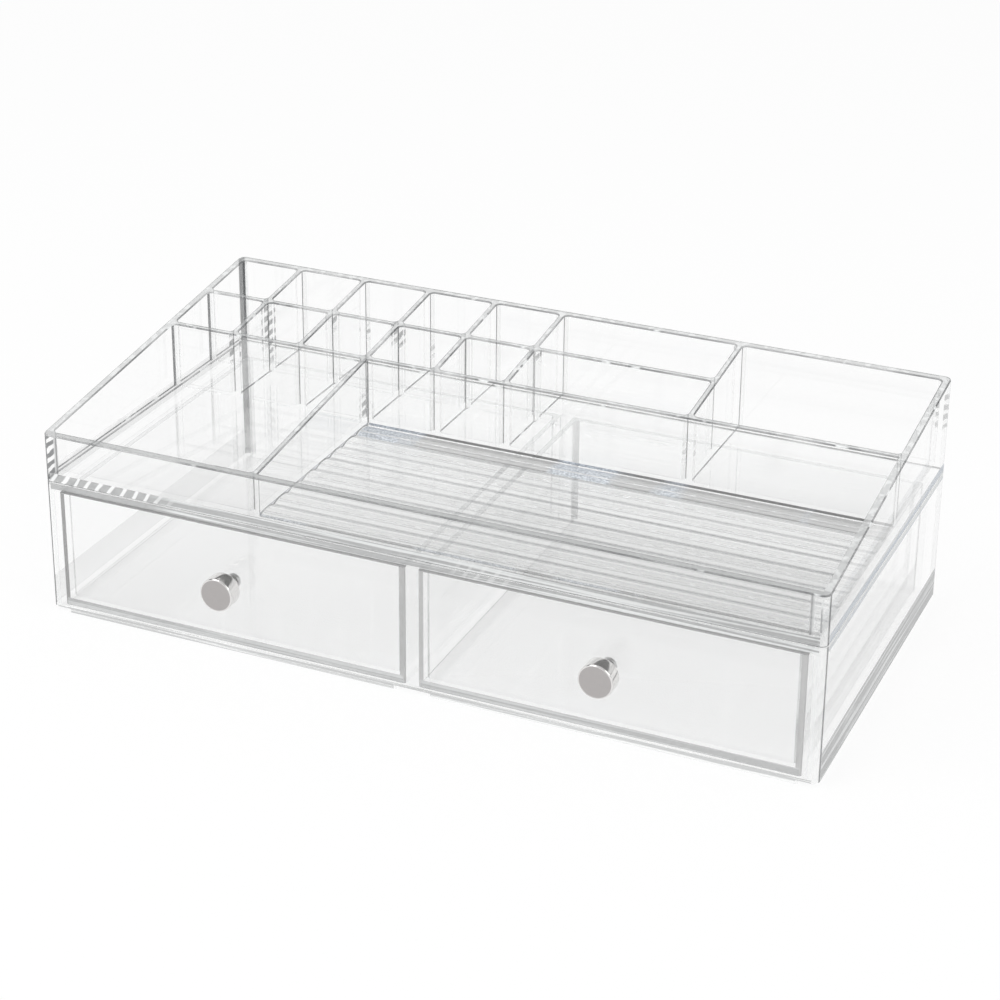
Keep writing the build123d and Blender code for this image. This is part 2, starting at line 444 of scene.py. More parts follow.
def pale_face(colours):
    """The front of the frame round the drawers: a painted pale strip of refraction and reflection,
    with faint clouds.
    """
    def look(nodes):
        clouds = nodes.cloud(60.0, 2.0, (1, 1, 0.3))
        colour = nodes.blend(clouds, shade(colours.edge, 0.9), (0.97, 0.98, 0.98))
        return colour, clouds * 0.5 + 0.2

    painted_refraction_finish("pale_face", colours, look)


def corner_face(colours):
    """The upright corners, with painted refraction: pale, streaked at the left, and painted dark
    where they turn to a side.
    """
    wall_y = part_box("tray_front_wall")[1].y
    seam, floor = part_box("tray_floor")

    def look(nodes):
        place = nodes.from_left()
        in_case = nodes.along("Z").below(seam.z)
        # Painted refraction: slanting dark streaks at the left end of the front, and in patches,
        # above the seam.
        climb = nodes.along("Z") * 1430.0 - nodes.along("X") * 1500.0
        waves = (climb + nodes.cloud(130.0) * 6.0).wave()
        end = nodes.steps(place, [(0.017, 1.0), (0.018, 0.0)]) * nodes.along("Y").below(wall_y)
        patches = nodes.steps(nodes.cloud(30.0, 1.0), [(0.60, 0.0), (0.66, 0.8)])
        streaks = nodes.steps(waves, [(0.30, 0.0), (0.55, 1.0)]) * end.larger(patches)
        streaks = streaks * (1 - in_case)
        # Painted dark bars near both sides, above the tray floor.
        bars = nodes.steps(
            place,
            [(0.0155, 0.0), (0.0165, 1.0), (0.0205, 1.0), (0.0215, 0.0), (0.979, 0.0),
             (0.9800, 0.9), (0.9830, 0.9), (0.9840, 0.0)],
        )
        above = 1 - nodes.along("Z").below(floor.z)
        # Painted shade: dark where the round turns to the left or right, and more at the far left.
        turn = nodes.add("ShaderNodeTexCoord", output="Normal")
        across = nodes.add("ShaderNodeSeparateXYZ", None, {0: turn}, output="X").unsigned()
        leftmost = place.below(0.012) * 0.5
        turned = nodes.steps(
            across + leftmost + nodes.cloud(50.0) * 0.06, [(0.88, 0.0), (0.96, 1.0)],
        )
        dark = streaks.larger(turned).larger(bars * above)
        return nodes.blend(dark, (0.95, 0.96, 0.96), colours.line), dark * 0.55 + 0.25

    painted_refraction_finish("corner_face", colours, look)


def edge_line(colours):
    """The rounded edges, with painted refraction: dark lines with a few painted bright breaks."""
    def look(nodes):
        breaks = nodes.steps(nodes.cloud(90.0, 2.0), [(0.64, 0.0), (0.70, 1.0)])
        depth = nodes.steps(nodes.cloud(45.0, 2.0), [(0.35, 0.5), (0.65, 0.85)])
        return nodes.blend(breaks, colours.line, colours.edge), depth

    painted_refraction_finish("edge_line", colours, look)


def part_line(name, colours, least, most):
    """A painted dark line of refraction that shows in part: an edge inside, or a drawer's edge
    behind its front.
    """
    def look(nodes):
        depth = nodes.steps(nodes.cloud(60.0, 1.0), [(0.4, least), (0.7, most)])
        return nodes.blend(depth, shade(colours.line, 2.5), colours.line), depth

    painted_refraction_finish(name, colours, look)


def slab_edge(colours):
    """The edge of a floor sheet, with painted refraction: streaks along it, and slanting dashes at
    the upper left.
    """
    front_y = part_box("tray_front_wall")[1].y
    back_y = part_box("case_back_wall")[1].y
    seam_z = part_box("tray_floor")[0].z
    drawer_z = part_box("left_drawer_front")[0].z

    def look(nodes):
        place = nodes.from_left()
        near = nodes.along("Y").below(front_y)
        upper = 1 - nodes.along("Z").below(seam_z / 2)
        # Painted refraction: dark and pale streaks, bluish in the upper front, and pale slanting
        # dashes over dark grey at the upper left; more of it shows towards the right side.
        streaks = nodes.steps(nodes.cloud(9.0, 2.0, (1, 1, 90)), [(0.47, 0.0), (0.57, 1.0)])
        slope = nodes.along("X") * 1150.0 - nodes.along("Z") * 800.0
        dashes = nodes.steps((slope + nodes.cloud(90.0) * 5.0).wave(), [(0.65, 0.0), (0.9, 1.0)])
        above = 1 - nodes.along("Z").below(seam_z)
        here = nodes.steps(place + nodes.cloud(20.0) * 0.06, [(0.17, 1.0), (0.22, 0.0)]) * upper
        patches = nodes.steps(nodes.cloud(16.0, 1.0), [(0.66, 0.0), (0.72, 0.3)])
        bluish = nodes.blend(upper, shade(colours.edge, 0.3), shade(colours.step, 0.7))
        dark = nodes.blend(near, bluish, shade(colours.edge, 0.36))
        light = nodes.blend(upper, shade(colours.edge, 0.58), shade(colours.edge, 0.92))
        pale = nodes.blend(near, shade(colours.edge, 0.66), light)
        plain = nodes.blend(here, nodes.blend(streaks, dark, pale), shade(colours.edge, 0.34))
        foot = near * nodes.along("Z").below(drawer_z)
        below = nodes.blend(streaks, shade(colours.edge, 0.42), (0.93, 0.94, 0.94))
        plain = nodes.blend(foot, plain, below)
        colour = nodes.blend(dashes * (here * above).larger(patches), plain, (0.95, 0.96, 0.96))
        beside = nodes.steps(place, [(0.0, 0.2), (0.3, 0.2), (0.7, 0.62), (0.99, 0.85)])
        in_front = near * 0.66 - foot * 0.1
        return colour, in_front.larger(beside * nodes.along("Y").below(back_y - TINY) * (1 - near))

    painted_refraction_finish("slab_edge", colours, look)


def ribbed_face(colours, low, pitch):
    """The ribs of the brush floor, with painted refraction: fine dark lines along each, no two
    ribs quite alike.
    """
    def look(nodes):
        across = ((nodes.along("Y") - low) * (1 / pitch)).fraction()
        # Painted refraction: dark lines at each valley and at three places across a rib.
        lines = nodes.steps(
            across,
            [(0.0, 0.62), (0.04, 0.55), (0.09, 0.0), (0.20, 0.0), (0.25, 0.30), (0.30, 0.0),
             (0.46, 0.0), (0.54, 0.16), (0.60, 0.18), (0.66, 0.0), (0.76, 0.0), (0.82, 0.58),
             (0.88, 0.0), (0.96, 0.0), (1.0, 0.62)],
        )
        depth = nodes.steps(nodes.cloud(6.0, 1.0, (1, 8, 1)), [(0.3, 0.5), (0.7, 1.0)])
        colour = nodes.blend(depth, shade(colours.line, 3), shade(colours.line, 1.5))
        return colour, lines * depth

    painted_refraction_finish("ribbed_face", colours, look)


def step_face(colours, depth):
    """The step down to the brush floor, with painted shade and refraction: dark at its foot, with
    bluish speckled patches.
    """
    back_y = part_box("ribbed_brush_floor")[1].y

    def look(nodes):
        nearness = nodes.share("Y", back_y - depth, back_y)
        # Painted shade: dark bands across the step's depth, darkest at its two ends.
        plain = nodes.steps(
            nearness + nodes.cloud(12.0, 1.0) * 0.08 - 0.04,
            [(0.0, 0.20), (0.07, 0.22), (0.13, 0.50), (0.30, 0.40), (0.42, 0.56), (0.56, 0.40),
             (0.64, 0.28), (0.72, 0.50), (0.90, 0.42), (0.95, 0.24), (1.0, 0.20)],
        )
        specks = nodes.steps(nodes.cloud(1400.0, 2.0), [(0.44, 0.0), (0.60, 1.0)])
        speckled = nodes.blend(specks, shade(colours.step, 0.6), (0.72, 0.77, 0.84))
        patches = nodes.steps(nodes.cloud(45.0, 1.0, (1, 0.1, 0.1)), [(0.52, 0.0), (0.57, 0.9)])
        cover = nodes.steps(nearness, [(0.0, 0.5), (0.04, 0.75), (1.0, 0.9)])
        return nodes.blend(patches, plain, speckled), cover

    painted_refraction_finish("step_face", colours, look)


def polished_chrome(colours):
    """Chrome with the faint swell of its polishing, and specks of wear in its gloss."""
    nodes = Nodes(bpy.data.materials.new("polished_chrome"))
    swell = nodes.bump(nodes.cloud(160.0, 1.0), 0.05, 0.0002)
    nodes.finish(nodes.metal(colours.chrome, 0.04 + nodes.cloud(900.0, 4.0) * 0.08, swell))


def turned_face(colours):
    """The flat face of a knob: satin, with the finest of turning marks."""
    nodes = Nodes(bpy.data.materials.new("turned_face"))
    grain = nodes.cloud(1400.0, 3.0)
    marks = nodes.bump(grain, 0.08, 0.00005)
    tone = nodes.blend(nodes.cloud(500.0), shade(colours.knob_face, 0.94), colours.knob_face)
    nodes.finish(nodes.metal(tone, 0.28 + grain * 0.12, marks))


def plated_steel(colours):
    """Zinc-plated steel: dull, with cloudy patches."""
    nodes = Nodes(bpy.data.materials.new("plated_steel"))
    clouds = nodes.cloud(600.0, 3.0)
    tone = nodes.blend(clouds, shade(colours.steel, 0.85), colours.steel)
    nodes.finish(nodes.metal(tone, 0.22 + clouds * 0.2))


# Modelling


def choose(*pieces):
    """Selects these pieces alone, and makes the first one active."""
    bpy.ops.object.select_all(action="DESELECT")
    for piece in pieces:
        piece.select_set(True)
    if pieces:
        bpy.context.view_layer.objects.active = pieces[0]


def block(name, x, y, z):
    """A block between two x, two y and two z values."""
    choose()
    middle = (sum(x) / 2, sum(y) / 2, sum(z) / 2)
    bpy.ops.mesh.primitive_cube_add(size=1, location=middle)
    piece = bpy.context.active_object
    piece.name = name
    piece.scale = (x[1] - x[0], y[1] - y[0], z[1] - z[0])
    bpy.ops.object.transform_apply()
    return piece


def rod(name, radius, x, z, start_y, end_y):
    """A round rod that points to the front, between two depths."""
    choose()
    bpy.ops.mesh.primitive_cylinder_add(
        vertices=48, radius=radius, depth=end_y - start_y,
        location=(x, (start_y + end_y) / 2, z), rotation=(math.pi / 2, 0, 0),
    )
    piece = bpy.context.active_object
    piece.name = name
    bpy.ops.object.transform_apply()
    return piece


def round_edges(piece, radius, segments, wanted):
    """Rounds the edges that a test on their two ends picks out."""
    choose(piece)
    bpy.ops.object.mode_set(mode="EDIT")
    bpy.ops.mesh.select_mode(type="EDGE")
    bpy.ops.mesh.select_all(action="DESELECT")
    mesh = bmesh.from_edit_mesh(piece.data)
    for edge in mesh.edges:
        edge.select_set(wanted(edge.verts[0].co, edge.verts[1].co))
    bmesh.update_edit_mesh(piece.data)
    bpy.ops.mesh.bevel(offset=radius, segments=segments, affect="EDGES")
    bpy.ops.object.mode_set(mode="OBJECT")


def is_upright(start, end):
    """True for an edge that stands straight up."""
    return abs((end - start).normalized().dot(UPRIGHT)) > STRAIGHT


def rounded_block(name, x, y, z, radius, segments=8):
    """A block whose upright edges are round."""
    piece = block(name, x, y, z)
    round_edges(piece, radius, segments, is_upright)
    return piece


def cut(piece, point, normal, keep_all=False):
    """Cuts a piece along a plane. What lies beyond it goes, unless all is kept."""
    choose(piece)
    bpy.ops.object.mode_set(mode="EDIT")
    bpy.ops.mesh.select_all(action="SELECT")
    bpy.ops.mesh.bisect(
        plane_co=point, plane_no=normal, use_fill=not keep_all, clear_outer=not keep_all,
    )
    bpy.ops.object.mode_set(mode="OBJECT")


def at_height(z):
    """A level plane."""
    return (0, 0, z), UPRIGHT


def combine(piece, others, operation):
    """Adds the others to a piece, or takes them away, and removes them."""
    choose(*others)
    if len(others) > 1:
        bpy.ops.object.join()
    tool = others[0]
    choose(piece)
    change = piece.modifiers.new("combine", "BOOLEAN")
    change.operation = operation
    change.solver = "EXACT"
    change.use_self = operation == "UNION"
    change.object = tool
    bpy.ops.object.modifier_apply(modifier=change.name)
    bpy.data.objects.remove(tool)


def soften(piece, width, planes=()):
    """Scores a piece along the planes where its look changes, and rounds its sharp edges."""
    choose(piece)
    bpy.ops.object.mode_set(mode="EDIT")
    bpy.ops.mesh.select_all(action="SELECT")
    bpy.ops.mesh.remove_doubles(threshold=MERGED)
    bpy.ops.mesh.dissolve_limited(angle_limit=math.radians(0.2))
    bpy.ops.object.mode_set(mode="OBJECT")
    for point, normal in planes:
        cut(piece, point, normal, keep_all=True)
    for name in CLEAR_FINISHES:
        piece.data.materials.append(bpy.data.materials[name])
    bpy.ops.object.shade_smooth_by_angle(angle=math.radians(40))
    polish = piece.modifiers.new("polish", "BEVEL")
    polish.width = width
    polish.segments = 3
    polish.limit_method = "ANGLE"
    polish.angle_limit = math.radians(60)
    # The rounds take the painted dark edge lines.
    polish.material = CLEAR_FINISHES.index("edge_line")
    bpy.ops.object.modifier_apply(modifier=polish.name)
    flat = piece.modifiers.new("flat", "WEIGHTED_NORMAL")
    flat.mode = "FACE_AREA"
    flat.weight = 100
    flat.keep_sharp = True
    bpy.ops.object.modifier_apply(modifier=flat.name)


def press_to(piece, point, normal):
    """Brings back to a plane what the rounding of the edges has pushed past it."""
    for corner in piece.data.vertices:
        beyond = (corner.co - Vector(point)).dot(normal)
        if beyond > 0:
            corner.co -= normal * beyond


def paint(piece, look):
    """Gives each face the clear finish that a look picks for it, where it picks one."""
    for face in piece.data.polygons:
        is_line = CLEAR_FINISHES[face.material_index] == "edge_line"
        finish = look(face.center, face.normal, is_line)
        if finish:
            face.material_index = CLEAR_FINISHES.index(finish)


def settle(piece, body, replaced):
    """Gives a finished piece its body, and hides the nodes that it stands for."""
    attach(piece, body)
    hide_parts(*replaced)


def case_outline():
    """The middle of the case and half of its width and depth."""
    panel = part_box("case_top_panel")
    half_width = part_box("case_right_wall")[1].x
    middle_y = (panel[0].y + panel[1].y) / 2
    return middle_y, half_width, (panel[1].y - panel[0].y) / 2


def on_outside(place, corner):
    """True on the upright faces round the whole object, rounded corners included."""
    middle_y, half_width, half_depth = case_outline()
    x = abs(place.x) - (half_width - corner)
    y = abs(place.y - middle_y) - (half_depth - corner)
    reach = math.hypot(x, y) if x > 0 and y > 0 else max(x, y)
    return reach > corner - SKIN


def front_ends(width):
    """The planes that part the two ends of the front from its middle."""
    half_width = case_outline()[1] - width
    return [((side * half_width, 0, 0), ACROSS) for side in (-1, 1)]


def at_front_end(place, width):
    """True on the two ends of the front."""
    middle_y, half_width, half_depth = case_outline()
    return abs(place.x) > half_width - width and place.y < middle_y - half_depth + TINY


def is_rounded(normal):
    """True on the round of an upright corner."""
    return abs(normal.z) < TURNED < min(abs(normal.x), abs(normal.y))


# Tray


def rim_plane():
    """A point on the tray's sloping rim, and the direction that it faces."""
    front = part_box("tray_front_wall")[1]
    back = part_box("tray_back_wall")[1]
    normal = Vector((0, front.z - back.z, back.y - front.y)).normalized()
    return Vector((0, back.y, back.z)), normal


def cell_pockets(sizes):
    """The hollows of the small cells, two rows of them, and of the deep one at the right."""
    floor_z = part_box("tray_floor")[1].z
    top_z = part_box("tray_back_wall")[1].z + CLEARANCE
    front_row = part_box("front_row_divider")
    middle_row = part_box("middle_row_divider")
    back_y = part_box("tray_back_wall")[0].y
    rows = [(front_row[1].y, middle_row[0].y), (middle_row[1].y, back_y)]
    pockets = []
    for left, right in zip(COLUMN_SHEETS, COLUMN_SHEETS[1:]):
        x = (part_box(left)[1].x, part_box(right)[0].x)
        depths = [(front_row[1].y, back_y)] if right == "tray_right_wall" else rows
        for y in depths:
            pockets.append(rounded_block("cell", x, y, (floor_z, top_z), sizes.cell_corner))
    return pockets


def front_pocket(sizes):
    """The hollow of the large space at the front left."""
    x = (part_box("tray_left_wall")[1].x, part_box("long_divider")[0].x)
    y = (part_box("tray_front_wall")[1].y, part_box("front_row_divider")[0].y)
    z = (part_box("tray_floor")[1].z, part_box("tray_back_wall")[1].z + CLEARANCE)
    return rounded_block("front_space", x, y, z, sizes.cell_corner)


def rib_pitch(sizes):
    """The width of one rib."""
    low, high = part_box("ribbed_brush_floor")
    return (high.y - low.y) / sizes.rib_count


def brush_pocket(sizes):
    """The hollow of the brush space, whose underside has the ribs in it, each one an arc."""
    low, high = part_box("ribbed_brush_floor")
    valley_z = high.z - sizes.rib_height
    pitch = rib_pitch(sizes)
    radius = pitch**2 / (8 * sizes.rib_height) + sizes.rib_height / 2
    choose()
    bpy.ops.mesh.primitive_grid_add(
        x_subdivisions=1,
        y_subdivisions=sizes.rib_count * RIB_STEPS,
        size=1,
        location=((low.x + high.x) / 2, (low.y + high.y) / 2, valley_z),
    )
    pocket = bpy.context.active_object
    pocket.name = "brush_space"
    pocket.scale = (high.x - low.x, high.y - low.y, 1)
    bpy.ops.object.transform_apply()
    for corner in pocket.data.vertices:
        across = (corner.co.y - low.y) % pitch - pitch / 2
        rise = math.sqrt(max(radius**2 - across**2, 0)) - (radius - sizes.rib_height)
        corner.co.z = valley_z + max(rise, 0)
    bpy.ops.object.mode_set(mode="EDIT")
    bpy.ops.mesh.select_all(action="SELECT")
    top_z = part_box("tray_back_wall")[1].z + CLEARANCE
    bpy.ops.mesh.extrude_region_move(TRANSFORM_OT_translate={"value": (0, 0, top_z - valley_z)})
    bpy.ops.mesh.select_all(action="SELECT")
    bpy.ops.mesh.normals_make_consistent(inside=False)
    bpy.ops.object.mode_set(mode="OBJECT")
    return pocket


def make_tray(sizes):
    """The tray: a block cut to the sloping rim, with all of its hollows taken out."""
    x = (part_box("tray_left_wall")[0].x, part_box("tray_right_wall")[1].x)
    y = (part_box("tray_front_wall")[0].y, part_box("tray_back_wall")[1].y)
    z = (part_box("tray_floor")[0].z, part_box("tray_back_wall")[1].z)
    tray = rounded_block("tray", x, y, z, sizes.outer_corner, CORNER_STEPS)
    cut(tray, *rim_plane())
    pockets = [*cell_pockets(sizes), front_pocket(sizes), brush_pocket(sizes)]
    combine(tray, pockets, "DIFFERENCE")
    soften(tray, sizes.softness, [
        at_height(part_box("tray_floor")[1].z - TINY), *front_ends(sizes.corner_width),
    ])
    press_to(tray, *rim_plane())
    return tray


def paint_tray(tray, sizes):
    """Picks out the tray's rims, corners, floor edge, ribs and step."""
    floor_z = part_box("tray_floor")[1].z
    rim_normal = rim_plane()[1]
    brush_low, brush_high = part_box("ribbed_brush_floor")

    def look(place, normal, is_line):
        outside = on_outside(place, sizes.outer_corner)
        over_brushes = (
            brush_low.x - TINY < place.x < brush_high.x + TINY
            and brush_low.y - TINY < place.y < brush_high.y + TINY
        )
        if is_line:
            hidden = place.z < floor_z + NEAR_EDGE and not outside and normal.x < 0.5
            return "faint_line" if hidden else None
        if normal.dot(rim_normal) > SAME:
            return "rim_face"
        if outside and is_rounded(normal):
            return "corner_face"
        if outside and place.z < floor_z:
            return "slab_edge" if abs(normal.z) < TURNED else None
        if over_brushes and brush_low.z + TINY < place.z < floor_z - TINY:
            at_back = place.y > brush_high.y - sizes.step_shade
            return "step_face" if at_back or normal.z < STEEP else "ribbed_face"
        ended = at_front_end(place, sizes.corner_width)
        return "corner_face" if ended or is_rounded(normal) else None

    paint(tray, look)


class MakeTray(bpy.types.Operator):
    """Makes the tray with its cells, its front space and its ribbed brush floor"""

    bl_idname = "organizer.make_tray"
    bl_label = "Tray"

    def execute(self, context):
        sizes = context.scene.organizer_sizes
        tray = make_tray(sizes)
        paint_tray(tray, sizes)
        settle(tray, "case", TRAY_SHEETS)
        return {"FINISHED"}


# Case


def drawers_bay(sizes):
    """The space that the drawers slide in, open at the front and soft in its upper corners."""
    front_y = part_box("case_top_panel")[0].y - CLEARANCE
    x = (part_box("case_left_wall")[1].x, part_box("case_right_wall")[0].x)
    y = (front_y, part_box("case_back_wall")[0].y)
    z = (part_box("centre_guide_fin")[0].z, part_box("case_top_panel")[0].z)
    bay = block("bay", x, y, z)
    middle_z = sum(z) / 2

    def is_upper_side(start, end):
        return min(start.z, end.z) > middle_z and abs(end.x - start.x) < TINY

    round_edges(bay, sizes.bay_corner, 6, is_upper_side)
    return bay


def foot_pads(sizes):
    """The two pads that carry the case, one under each drawer."""
    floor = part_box("case_floor")
    foot_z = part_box("case_left_wall")[0].z
    pads = []
    for side in (-1, 1):
        x = sorted((side * sizes.pad_inner_x, side * sizes.pad_outer_x))
        z = (floor[0].z, foot_z + OVERLAP)
        pads.append(rounded_block("pad", x, (floor[0].y, floor[1].y), z, sizes.cell_corner))
    return pads


def fin_and_runners(sizes):
    """The fin between the drawers, and the two low runners under each drawer."""
    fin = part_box("centre_guide_fin")
    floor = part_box("case_floor")
    low_z = fin[0].z - OVERLAP
    back_y = fin[1].y + OVERLAP
    pieces = [block("fin", (fin[0].x, fin[1].x), (fin[0].y, back_y), (low_z, fin[1].z))]
    for side in SIDES:
        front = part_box(f"{side}_drawer_front")
        for x in (front[0].x + sizes.runner_inset, front[1].x - sizes.runner_inset):
            pieces.append(block(
                "runner",
                (x - sizes.runner_width / 2, x + sizes.runner_width / 2),
                (floor[0].y + sizes.runner_setback, back_y),
                (low_z, floor[1].z),
            ))
    return pieces


def make_case(sizes):
    """The case: a block with the drawers' bay taken out, and its pads, fin and runners."""
    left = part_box("case_left_wall")
    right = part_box("case_right_wall")
    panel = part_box("case_top_panel")
    z = (left[0].z, left[1].z - sizes.seam)
    case = rounded_block(
        "case", (left[0].x, right[1].x), (panel[0].y, panel[1].y), z, sizes.outer_corner,
        CORNER_STEPS,
    )
    combine(case, foot_pads(sizes), "UNION")
    combine(case, [drawers_bay(sizes)], "DIFFERENCE")
    combine(case, fin_and_runners(sizes), "UNION")
    floor_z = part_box("centre_guide_fin")[0].z
    soften(case, sizes.softness, [
        at_height(panel[0].z - TINY),
        at_height(floor_z + TINY),
        at_height(floor_z + sizes.side_band),
    ])
    return case


def paint_case(case, sizes):
    """Picks out the frame round the drawers, and the edges of the case's sheets."""
    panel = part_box("case_top_panel")
    floor_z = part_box("centre_guide_fin")[0].z

    def look(place, normal, is_line):
        outside = on_outside(place, sizes.outer_corner)
        if is_line:
            return None if outside else "faint_line"
        if abs(normal.z) > TURNED or not outside:
            return None
        if is_rounded(normal):
            return "corner_face"
        low = TINY if abs(normal.y) > SQUARE else sizes.side_band
        if place.z > panel[0].z - TINY or place.z < floor_z + low:
            return "slab_edge"
        return "pale_face" if place.y < panel[0].y + TINY else None

    paint(case, look)


class MakeCase(bpy.types.Operator):
    """Makes the case that the drawers slide in"""

    bl_idname = "organizer.make_case"
    bl_label = "Case"

    def execute(self, context):
        sizes = context.scene.organizer_sizes
        case = make_case(sizes)
        paint_case(case, sizes)
        settle(case, "case", CASE_SHEETS)
        return {"FINISHED"}


# Drawers


def middle_of(node):
    """The middle of a node's box."""
    low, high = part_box(node)
    return (low + high) / 2


def make_drawer(side, sizes):
    """One drawer: a rounded box with its inside taken out, and the hole for its screw."""
    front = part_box(f"{side}_drawer_front")
    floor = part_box(f"{side}_drawer_floor")
    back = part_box(f"{side}_drawer_back")
    screw = middle_of(f"{side}_knob_screw")
    z = (front[0].z, front[1].z)
    drawer = rounded_block(
        f"{side}_drawer", (front[0].x, front[1].x), (front[0].y, back[1].y), z,
        sizes.drawer_corner,
    )
    inside = rounded_block(
        "inside", (floor[0].x, floor[1].x), (front[1].y, back[0].y),
        (floor[1].z, z[1] + CLEARANCE), sizes.drawer_inner_corner,
    )
    combine(drawer, [inside], "DIFFERENCE")
    hole = rod(
        "hole", sizes.screw_hole, screw.x, screw.z, front[0].y - CLEARANCE, front[1].y + CLEARANCE,
    )
    combine(drawer, [hole], "DIFFERENCE")
    soften(drawer, sizes.softness, [
        at_height(floor[1].z - TINY),
        ((floor[0].x, 0, 0), ACROSS),
        ((floor[1].x, 0, 0), ACROSS),
        ((0, front[1].y, 0), INWARD),
    ])
    return drawer


def paint_drawer(drawer, side):
    """Picks out a drawer's rim, its corners and the edge of its floor."""
    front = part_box(f"{side}_drawer_front")
    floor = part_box(f"{side}_drawer_floor")

    def look(place, normal, is_line):
        if is_line:
            low_left = place.z < floor[1].z + NEAR_EDGE and normal.x > 0.5 and normal.z > 0.5
            if low_left or place.y < front[0].y + NEAR_EDGE:
                return None
            between = front[0].z + NEAR_EDGE <= place.z <= front[1].z - NEAR_EDGE
            return "faint_line" if between else "soft_line"
        on_rim = place.z > front[1].z - TINY
        if place.y > front[1].y:
            if is_rounded(normal):
                return "soft_line"
            return "pale_face" if on_rim and normal.z > SQUARE else None
        if abs(normal.x) > SQUARE:
            return None
        if is_rounded(normal):
            return "rim_face"
        at_front = place.y < front[0].y + TINY
        if at_front and place.z < floor[1].z:
            return "slab_edge"
        beside = not floor[0].x < place.x < floor[1].x
        return "rim_face" if on_rim or (beside and at_front) else None

    paint(drawer, look)


class MakeDrawers(bpy.types.Operator):
    """Makes the two drawers"""

    bl_idname = "organizer.make_drawers"
    bl_label = "Drawers"

    def execute(self, context):
        sizes = context.scene.organizer_sizes
        for side in SIDES:
            drawer = make_drawer(side, sizes)
            paint_drawer(drawer, side)
            sheets = [f"{side}_drawer_{sheet}" for sheet in DRAWER_SHEETS]
            settle(drawer, f"{side}_drawer", sheets)
        return {"FINISHED"}


# Knobs


def knob_rings(knob, length, head_radius):
    """The knob's outline as rings, each its distance from the drawer and its radius."""
    shoulder = length - knob.head_length
    flare_start = shoulder - knob.flare_length
    soft = knob.rim / 2
    rings = [
        (0.0, knob.base_radius),
        (knob.base_length - soft, knob.base_radius),
        (knob.base_length, knob.base_radius - soft),
        (knob.base_length + soft, knob.neck_radius + soft),
        (knob.base_length + 2 * soft, knob.neck_radius),
    ]
    for step in range(9):
        share = step / 8
        opened = 1 - math.sqrt(1 - share**2)
        radius = knob.neck_radius + (head_radius - knob.rim - knob.neck_radius) * opened
        rings.append((flare_start + knob.flare_length * share, radius))
    for step in range(1, 6):
        turn = math.radians(90) * step / 5
        rings.append((
            shoulder + knob.rim * (1 - math.cos(turn)),
            head_radius - knob.rim * (1 - math.sin(turn)),
        ))
    for step in range(6):
        turn = math.radians(90) * step / 5
        rings.append((
            length - knob.rim * (1 - math.sin(turn)),
            head_radius - knob.rim * (1 - math.cos(turn)),
        ))
    return rings


def make_knob(side, knob):
    """A turned knob, drawn out ring by ring from its foot, with the bore for its screw."""
    low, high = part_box(f"{side}_drawer_knob")
    middle = middle_of(f"{side}_drawer_knob")
    foot_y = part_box(f"{side}_drawer_front")[0].y
    rings = knob_rings(knob, foot_y - low.y, (high.x - low.x) / 2)
    choose()
    bpy.ops.mesh.primitive_circle_add(
        vertices=72, radius=rings[0][1], fill_type="NGON",
        location=(middle.x, foot_y, middle.z), rotation=(math.pi / 2, 0, 0),
    )
    piece = bpy.context.active_object
    piece.name = f"{side}_knob"
    bpy.ops.object.transform_apply()
    bpy.ops.object.mode_set(mode="EDIT")
    bpy.ops.mesh.select_all(action="SELECT")
    for (start, radius), (end, next_radius) in zip(rings, rings[1:]):
        bpy.ops.mesh.extrude_region_move(TRANSFORM_OT_translate={"value": (0, start - end, 0)})
        growth = next_radius / radius
        bpy.ops.transform.resize(
            value=(growth, 1, growth), center_override=(middle.x, foot_y - end, middle.z),
        )
    bpy.ops.mesh.select_all(action="SELECT")
    bpy.ops.mesh.normals_make_consistent(inside=False)
    bpy.ops.object.mode_set(mode="OBJECT")
    bore = rod(
        "bore", knob.bore_radius, middle.x, middle.z, foot_y - knob.bore_depth,
        foot_y + CLEARANCE,
    )
    combine(piece, [bore], "DIFFERENCE")
    bpy.ops.object.shade_smooth_by_angle(angle=math.radians(35))
    return piece


class MakeKnobs(bpy.types.Operator):
    """Makes the two turned knobs"""

    bl_idname = "organizer.make_knobs"
    bl_label = "Knobs"

    def execute(self, context):
        for side in SIDES:
            piece = make_knob(side, context.scene.organizer_knob)
            for name in ("polished_chrome", "turned_face"):
                piece.data.materials.append(bpy.data.materials[name])
            face_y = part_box(f"{side}_drawer_knob")[0].y
            for face in piece.data.polygons:
                face.material_index = int(face.center.y < face_y + TINY / 10)
            settle(piece, f"{side}_drawer", [f"{side}_drawer_knob"])
        return {"FINISHED"}


# Finishes and stage


class MakeFinishes(bpy.types.Operator):
    """Makes the finishes, and gives the screws theirs"""

    bl_idname = "organizer.make_finishes"
    bl_label = "Finishes"

    def execute(self, context):
        colours = context.scene.organizer_colours
        sizes = context.scene.organizer_sizes
        for make in (clear_sheet, rim_face, pale_face, corner_face, edge_line, slab_edge,
                     polished_chrome, turned_face, plated_steel):
            make(colours)
        part_line("faint_line", colours, 0.04, 0.16)
        part_line("soft_line", colours, 0.22, 0.45)
        step_face(colours, sizes.step_shade)
        ribbed_face(colours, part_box("ribbed_brush_floor")[0].y, rib_pitch(sizes))
        for side in SIDES:
            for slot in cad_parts[f"{side}_knob_screw"].material_slots:
                slot.material = bpy.data.materials["plated_steel"]
        return {"FINISHED"}


FLOOR_SIZE = 8
LAMP_TARGET = Vector((0, 0, 0.05))
# Each lamp's name, its place, its width and height, and its power in watts.
LAMPS = (
    ("key_lamp", (-0.9, -1.0, 1.5), (1.2, 0.8), 16),
    ("fill_lamp", (1.3, -0.4, 1.1), (0.9, 0.9), 8),
)


